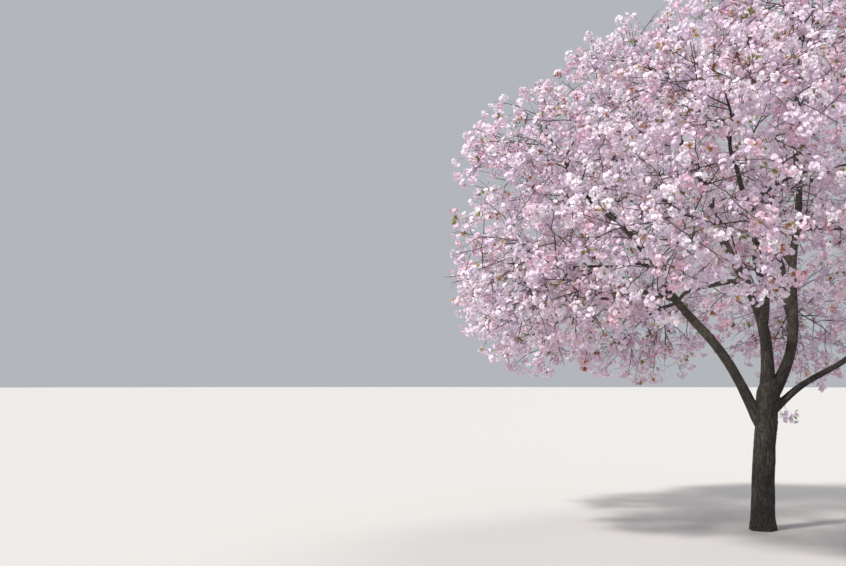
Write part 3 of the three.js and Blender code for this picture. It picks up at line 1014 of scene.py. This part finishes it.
def trunk_form():
    heights = np.linspace(0, 1, TRUNK_ROWS)
    angles = FULL_TURN * np.arange(TRUNK_COLUMNS) / TRUNK_COLUMNS
    axis = trunk_axis(heights)
    radii = trunk_radius(heights)[:, None] * foot_swell(angles, axis[:, 2:])
    level = np.stack([np.cos(angles), np.sin(angles), 0 * angles], 1)
    rows = axis[:, None] + level * radii[..., None]
    below = UP * BURIED  # so that the remesh rounds no edge at ground level
    rows = np.concatenate([rows[:1] - below, rows])
    return closed_tube(rows, axis[0] - below, axis[-1])


def route_of(limb, hidden):
    """Points and radii along a limb, which swells where it comes out of its parent, hidden metres along."""
    spots = shares(max(round(limb.length() / RING_STEP), LEAST_RINGS))
    out = np.maximum(spots * limb.length() - hidden, 0)
    radii = limb.radii_at(spots) * (1 + COLLAR * np.exp(-out / COLLAR_LENGTH))
    return limb.curve(spots)[None], radii[None]


def read(elements, attribute, width, kind):
    """An attribute of a mesh's elements, in rows of the given width."""
    values = np.empty(len(elements) * width, kind)
    elements.foreach_get(attribute, values)
    return values.reshape(-1, width)


def remeshed(shape):
    """One skin round shapes that run into each other."""
    raw = to_object("raw_bark", shape, [])
    remesh = raw.modifiers.new("skin", "REMESH")
    remesh.mode = "VOXEL"
    remesh.voxel_size = VOXEL
    done = raw.evaluated_get(bpy.context.evaluated_depsgraph_get())
    mesh = bpy.data.meshes.new_from_object(done)
    points = read(mesh.vertices, "co", 3, np.float32).astype(float)
    quads = read(mesh.loops, "vertex_index", 1, np.int32).reshape(-1, 4)
    edges = read(mesh.edges, "vertices", 2, np.int32)
    bpy.data.objects.remove(raw)
    points = smoothed(points, edges)
    points[:, 2] = np.maximum(points[:, 2], 0)
    return plain_shape(points, np.concatenate([quads[:, [0, 1, 2]], quads[:, [0, 2, 3]]]))


def summed(numbers, rows, count):
    """The sum of the rows that have each number."""
    return np.stack([np.bincount(numbers, column, count) for column in rows.T], 1)


def smoothed(points, edges):
    """Takes the voxel steps out of a mesh and keeps its thickness, by turns in and out."""
    a, b = edges.T
    degree = np.bincount(edges.ravel(), minlength=len(points))[:, None]
    for turn in range(SMOOTHING_TURNS):
        total = summed(a, points[b], len(points)) + summed(b, points[a], len(points))
        points = points + (total / degree - points) * SMOOTHING_STEPS[turn % 2]
    return points


def vertex_normals(shape):
    a, b, c = (shape.points[shape.triangles[:, k]] for k in range(3))
    faces = np.cross(b - a, c - a)
    normals = sum(summed(corner, faces, len(shape.points)) for corner in shape.triangles.T)
    return normals / np.maximum(norm(normals, axis=1, keepdims=True), TINY)


def tree_of(points):
    """The points, sorted so that the nearest ones are found fast."""
    tree = kdtree.KDTree(len(points))
    for number, point in enumerate(points):
        tree.insert(point, number)
    tree.balance()
    return tree


def limb_space(points, wood):
    """Each point in the straightened space of its nearest limb, with the limb's radius and the bark's age."""
    samples = []
    for limb in wood:
        side, over = square_to(unit(limb.points[-1] - limb.points[0]))
        length = limb.length()
        for spot in np.linspace(0, 1, max(round(length / RING_STEP), 2)):
            ahead, behind = min(spot + LOOK_ROUND, 1.0), max(spot - LOOK_ROUND, 0.0)
            onwards = unit(limb.curve(ahead) - limb.curve(behind))
            radius = limb.along(min(spot, NEAR_TIP))[2]
            age = oldness(limb, spot * length)
            samples.append((limb.curve(spot), side, over, onwards, spot * length, radius, age))
    tree = tree_of([sample[0] for sample in samples])
    nearest = np.array([tree.find(point)[1] for point in points])
    axis, side, over, onwards, along, radius, old = (np.array(column)[nearest] for column in zip(*samples))
    away = points - axis
    past = (away * onwards).sum(1)
    return np.stack([(away * side).sum(1), (away * over).sum(1), along + past], 1), radius, old


def oldness(limb, distance):
    """1 for the trunk's cracked bark, falling to 0 for ringed bark up the boughs that leave it."""
    if limb.name == "trunk":
        return 1.0
    if limb.name not in BOUGHS or BOUGHS[limb.name][0] != "trunk":
        return 0.0
    fall = (distance - OLD_BARK_FROM) / (OLD_BARK_TO - OLD_BARK_FROM)
    return float(np.clip(1 - fall, 0, 1))


def noise_at(points, scale):
    return np.array([noise.noise(p) for p in (points * scale).tolist()])


def bark_relief(points, straight, radius, old):
    """How far the bark stands out: broad lumps, upright fissures on the trunk and rings on the boughs."""
    lumps = noise_at(points, LUMP_SCALE) * LUMP_HEIGHT
    fissures = -np.abs(noise_at(straight, FISSURE_SCALE)) * FISSURE_DEPTH + PLATE_HEIGHT
    rings = noise_at(straight, RIDGE_SCALE) * RIDGE_HEIGHT
    above_ground = np.clip(points[:, 2] / FOOT_FADE, 0, 1)
    return (lumps + fissures * old + rings * (1 - old)) * radius * above_ground


def make_bark():
    """The trunk and boughs in one skin, with the branches and the masses' stems let into it."""
    thick = [trunk_form()]
    for bough in boughs:
        hidden = HIDDEN_IN_TRUNK if BOUGHS[bough.name][0] == "trunk" else HIDDEN_IN_BOUGH
        rows = tube_rings(*route_of(bough, hidden), BOUGH_COLUMNS)[0]
        thick.append(closed_tube(rows, bough.points[0], bough.points[-1]))
    stems = [mass.twigs[0] for mass in masses]
    let_in = [*((branch, HIDDEN_OF_BRANCH) for branch in branches), *((stem, NO_COLLAR) for stem in stems)]
    thin = [tubes(*route_of(limb, hidden), BRANCH_COLUMNS) for limb, hidden in let_in]
    shape = join([remeshed(join(thick)), *thin])
    straight, radius, old = limb_space(shape.points, [*limbs, *stems])
    relief = bark_relief(shape.points, straight, radius, old)
    shape.points = shape.points + vertex_normals(shape) * relief[:, None]
    bark = to_object("bark", shape, [bark_material()], smooth=True)
    bark.data.attributes.new("straight", "FLOAT_VECTOR", "POINT").data.foreach_set("vector", straight.ravel())
    bark.data.attributes.new("old", "FLOAT", "POINT").data.foreach_set("value", old)
    return bark


# Flowers, leaves and twigs


def sprays_of(twigs, rng):
    """Along the twigs: each spur's foot, direction, and the number of the twig that it is on."""
    feet, ways, owners = [], [], []
    for number, twig in enumerate(twigs):
        bare = BARE_SHARES[twig.order] if twig.order < len(BARE_SHARES) else 0
        count = max(round(twig.length() * (1 - bare) / CLUSTER_SPACING), 1)
        turn = rng.uniform(0, FULL_TURN)
        for k in range(count):
            share = bare + (1 - bare) * (k + 1) / count
            foot = twig.curve(share)
            onwards = unit(foot - twig.curve(share - LOOK_BACK))
            way = leaning(onwards, TIP_SPREAD if k == count - 1 else SPUR_SPREAD, turn + k * GOLDEN_ANGLE)
            feet.append(foot)
            ways.append(unit(way - UP * CLUSTER_DROOP))
            owners.append(number)
    return np.array(feet), np.array(ways), np.array(owners)


def chosen_clusters(points, rng):
    """The clusters that flower: few inside the crown, in clumps, and otherwise as evenly as can be."""
    level = norm(points - np.array([*CROWN_CENTRE, CROWN_MIDDLE]), axis=1) / CROWN_REACH
    outer = np.clip((level - THIN_WITHIN) / (FULL_BEYOND - THIN_WITHIN), FEWEST_INSIDE, 1)
    clump = (noise_at(points, CLUMP_SCALE) - CLUMP_FROM) / (CLUMP_TO - CLUMP_FROM)
    clump = np.clip(clump, FEWEST_BETWEEN, 1)
    clump[points[:, 2] < FORK_HEIGHT] = 1
    tree = tree_of(points)
    crowding = np.array([len(tree.find_range(point, CROWDING_RADIUS)) for point in points])
    keys = rng.uniform(size=len(points)) ** (crowding / (outer * clump))
    return np.sort(np.argsort(-keys)[:CLUSTERS])


def grow_crown(rng):
    """The foot, centre and direction of each cluster of flowers, its spray's number, and all the twigs."""
    rows, twigs = [], []
    low, high = np.array(CAD_BOX)
    groups = [(index, wood_of_mass(index, mass, rng)) for index, mass in enumerate(masses)]
    for index, wood in [*groups, (None, wood_on_limbs(rng))]:
        feet, ways, owners = sprays_of(wood, rng)
        centres = feet + ways * SPUR_LENGTH
        edge = math.inf if index is None else CLUSTER_LEVEL
        kept = is_free(index, centres, edge) & is_clear(centres, CLUSTER_RADIUS * CLUSTER_CORE)
        kept &= ((centres > low) & (centres < high)).all(axis=1)
        rows.append((feet[kept], centres[kept], ways[kept], owners[kept] + len(twigs)))
        twigs += wood
    feet, centres, ways, owners = (np.concatenate(column) for column in zip(*rows))
    chosen = chosen_clusters(centres, rng)
    in_flower = set(owners[chosen])
    seen = [twig.order < TWIGLET.order or number in in_flower for number, twig in enumerate(twigs)]
    shown = [twig for twig, is_seen in zip(twigs, seen) if is_seen and twig.name != "stem"]
    return feet[chosen], centres[chosen], ways[chosen], owners[chosen], shown


def flower_shape(outer, inner):
    """An open double flower of radius 1, facing +Z: a bowl of petals, a raised whorl in it, and a heart."""
    whorls = []
    for look, ((count, turn, middle), (radii, heights)) in enumerate(zip(WHORLS, (outer, inner, HEART_RIM))):
        whorls.append(fan(rim(count, radii, heights, turn), (0, 0, middle), look))
    return join(whorls)


def flower_places(centres, ways, sizes, rng):
    """Where each cluster's flowers are and face: outwards, one at its tip and two rings round that."""
    polar = np.radians(np.concatenate([[tilt] * number for number, tilt in FLOWER_PLACES]))
    azimuth = np.concatenate([FULL_TURN * np.arange(number) / number for number, _ in FLOWER_PLACES])
    own = np.stack([np.sin(polar) * np.cos(azimuth), np.sin(polar) * np.sin(azimuth), np.cos(polar)], 1)
    turned = np.einsum("nij,kj->nki", facing(ways, rng), own)
    out = units(turned + rng.normal(0, PLACE_SCATTER, turned.shape))
    far = CLUSTER_RADIUS * sizes[:, None, None] * rng.uniform(*PLACE_REACH, (*turned.shape[:2], 1))
    places = (centres[:, None] + out * far).reshape(-1, 3)
    return places, units(out.reshape(-1, 3) + rng.normal(0, FACE_SCATTER, places.shape))


def make_flowers(centres, ways, sprays, rng):
    """Open flowers round each centre, more of them in a big cluster, with one tint to a spray."""
    sizes = rng.uniform(*CLUSTER_SIZES, len(centres))
    places, faces = flower_places(centres, ways, sizes, rng)
    most = sum(number for number, _ in FLOWER_PLACES)
    wanted = np.arange(most) < MEAN_FLOWERS * sizes[:, None] ** 2
    chosen = wanted.ravel() & (rng.uniform(size=len(places)) < OPEN_SHARE)
    scales = FLOWER_RADIUS * rng.uniform(*FLOWER_SIZES, len(places))
    tints = np.repeat(rng.choice(len(FLOWER_TINTS), sprays.max() + 1, p=TINT_SHARES)[sprays], most)
    looks = np.stack([tints * 2, tints * 2 + 1, np.full(len(tints), len(FLOWER_TINTS) * 2)], 1)
    turns = facing(faces, rng)
    kinds = rng.integers(len(OUTLINES), size=len(places))
    made = []
    for kind, outline in enumerate(OUTLINES):
        own = chosen & (kinds == kind)
        made.append(copies(flower_shape(*outline), places[own], turns[own], scales[own], looks[own]))
    return in_pieces("flowers", join(made), flower_materials(), smooth=True)


def leaf_shape():
    """A young leaf of length 1 along +Z, folded along its midrib and bent back at its tip."""
    right = np.array(LEAF_EDGE)
    left = right[::-1] * (-1, 1, 1)
    return fan(np.vstack([(0, 0, 0), right, LEAF_TIP, left]), LEAF_MIDRIB, 0)


def make_leaves(feet, ways, rng):
    """A tuft of young leaves, in one tint, at the foot of some spurs."""
    chosen = rng.uniform(size=len(feet)) < LEAFY_SHARE
    feet = np.repeat(feet[chosen], LEAVES_IN_TUFT, axis=0)
    ways = np.repeat(ways[chosen], LEAVES_IN_TUFT, axis=0)
    tints = np.repeat(rng.choice(len(LEAF_TINTS), chosen.sum(), p=LEAF_SHARES), LEAVES_IN_TUFT)
    out = units(ways + rng.normal(0, LEAF_SCATTER, ways.shape))
    scales = LEAF_LENGTH * rng.uniform(*LEAF_SIZES, len(feet))
    shape = copies(leaf_shape(), feet + out * LEAF_STALK, facing(out, rng), scales, tints[:, None])
    materials = [petal_material(f"leaves_{name}", colour, LEAF_GLOW) for name, colour in LEAF_TINTS]
    return in_pieces("leaves", shape, materials)


def twig_tubes(twigs, rings, sides):
    spots = shares(rings - 1)
    points = np.array([twig.curve(spots) for twig in twigs])
    return tubes(points, np.array([twig.radii_at(spots) for twig in twigs]), sides)


def stalks(feet, centres, ways):
    """A thin stalk from each spur's foot to the middle of its cluster."""
    points = np.stack([feet, centres + ways * CLUSTER_RADIUS * STALK_REACH], 1)
    radii = np.tile([SPUR_RADIUS, SPUR_RADIUS * STALK_TAPER], (len(feet), 1))
    return tubes(points, radii, FINE_SIDES)


def make_twigs(twigs, feet, centres, ways):
    """Old twigs, young ones and stalks, each in a tint of its own."""
    old = twig_tubes([twig for twig in twigs if twig.order < SHOOT.order], TWIG_RINGS, TWIG_SIDES)
    young = []
    for kind in (SHOOT, TWIGLET):
        own = [twig for twig in twigs if twig.order == kind.order]
        young.append(twig_tubes(own, kind.joints + 1, FINE_SIDES))
    shapes = [old, join(young), stalks(feet, centres, ways)]
    for look, shape in enumerate(shapes):
        shape.looks += look
    materials = [twig_material(f"twig_{name}", colour) for name, colour in TWIG_TINTS]
    return in_pieces("twigs", join(shapes), materials)


# Scene


def make_camera():
    data = bpy.data.cameras.new("camera")
    data.sensor_width = SENSOR_WIDTH
    data.lens = FOCAL_PIXELS / FRAME_WIDTH * data.sensor_width
    camera = add_object("camera", data)
    camera.location = CAMERA_PLACE
    pitch = math.atan2(HORIZON_ROW - FRAME_HEIGHT / 2, FOCAL_PIXELS)
    camera.rotation_euler = (math.pi / 2 + pitch, 0, 0)
    bpy.context.scene.camera = camera


def make_floor():
    surface = Surface("floor")
    surface.feed(surface.shader, {"Base Color": (*FLOOR_COLOUR, 1), "Roughness": FLOOR_ROUGHNESS})
    disc = fan(rim(FLOOR_SIDES, FLOOR_RADIUS, 0, 0), (0, 0, 0), 0)
    to_object("floor", disc, [surface.material])


def make_light():
    world = bpy.data.worlds.new("studio")
    world.use_nodes = True
    background = world.node_tree.nodes["Background"]
    background.inputs["Color"].default_value = (*SKY_COLOUR, 1)
    background.inputs["Strength"].default_value = SKY_STRENGTH
    bpy.context.scene.world = world
    bpy.context.scene.view_settings.view_transform = "Standard"
    for name, bearing, rise, energy, angle, colour in LAMPS:
        lamp = bpy.data.lights.new(name, "SUN")
        lamp.energy = energy
        lamp.angle = math.radians(angle)
        lamp.color = colour
        holder = add_object(name, lamp)
        holder.rotation_euler = Vector(heading(bearing, rise)).to_track_quat("Z", "Y").to_euler()


def dress(pieces, nodes):
    """Has the pieces ride on the one body in place of the solids, which it hides."""
    for piece in pieces:
        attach(piece, "root")
        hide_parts(*nodes)


trunk = Limb("trunk", trunk_axis(TRUNK_RINGS), trunk_radius(TRUNK_RINGS), trunk_axis)
masses = place_masses()
CENTRES = np.array([mass.centre for mass in masses])
SIZES = np.array([mass.size for mass in masses])
boughs = make_boughs(trunk)
branches = make_branches(boughs)
limbs = [trunk, *boughs, *branches]
SEGMENT_STARTS = np.concatenate([limb.points[:-1] for limb in limbs])
SEGMENT_ENDS = np.concatenate([limb.points[1:] for limb in limbs])
SEGMENT_RADII = np.concatenate([np.maximum(limb.radii[:-1], limb.radii[1:]) for limb in limbs])
for index, mass in enumerate(masses):
    mass.twigs = grow_twigs(index, mass)

make_camera()
make_floor()
make_light()
rng = np.random.default_rng(FINE_SEED)
feet, centres, ways, sprays, twigs = grow_crown(rng)
limb_nodes = [limb.name for limb in limbs]
mass_nodes = [mass.name for mass in masses]
dress([make_bark()], limb_nodes)
dress(make_flowers(centres, ways, sprays, rng), mass_nodes)
dress(make_leaves(feet, ways, rng), mass_nodes)
dress(make_twigs(twigs, feet, centres, ways), mass_nodes)
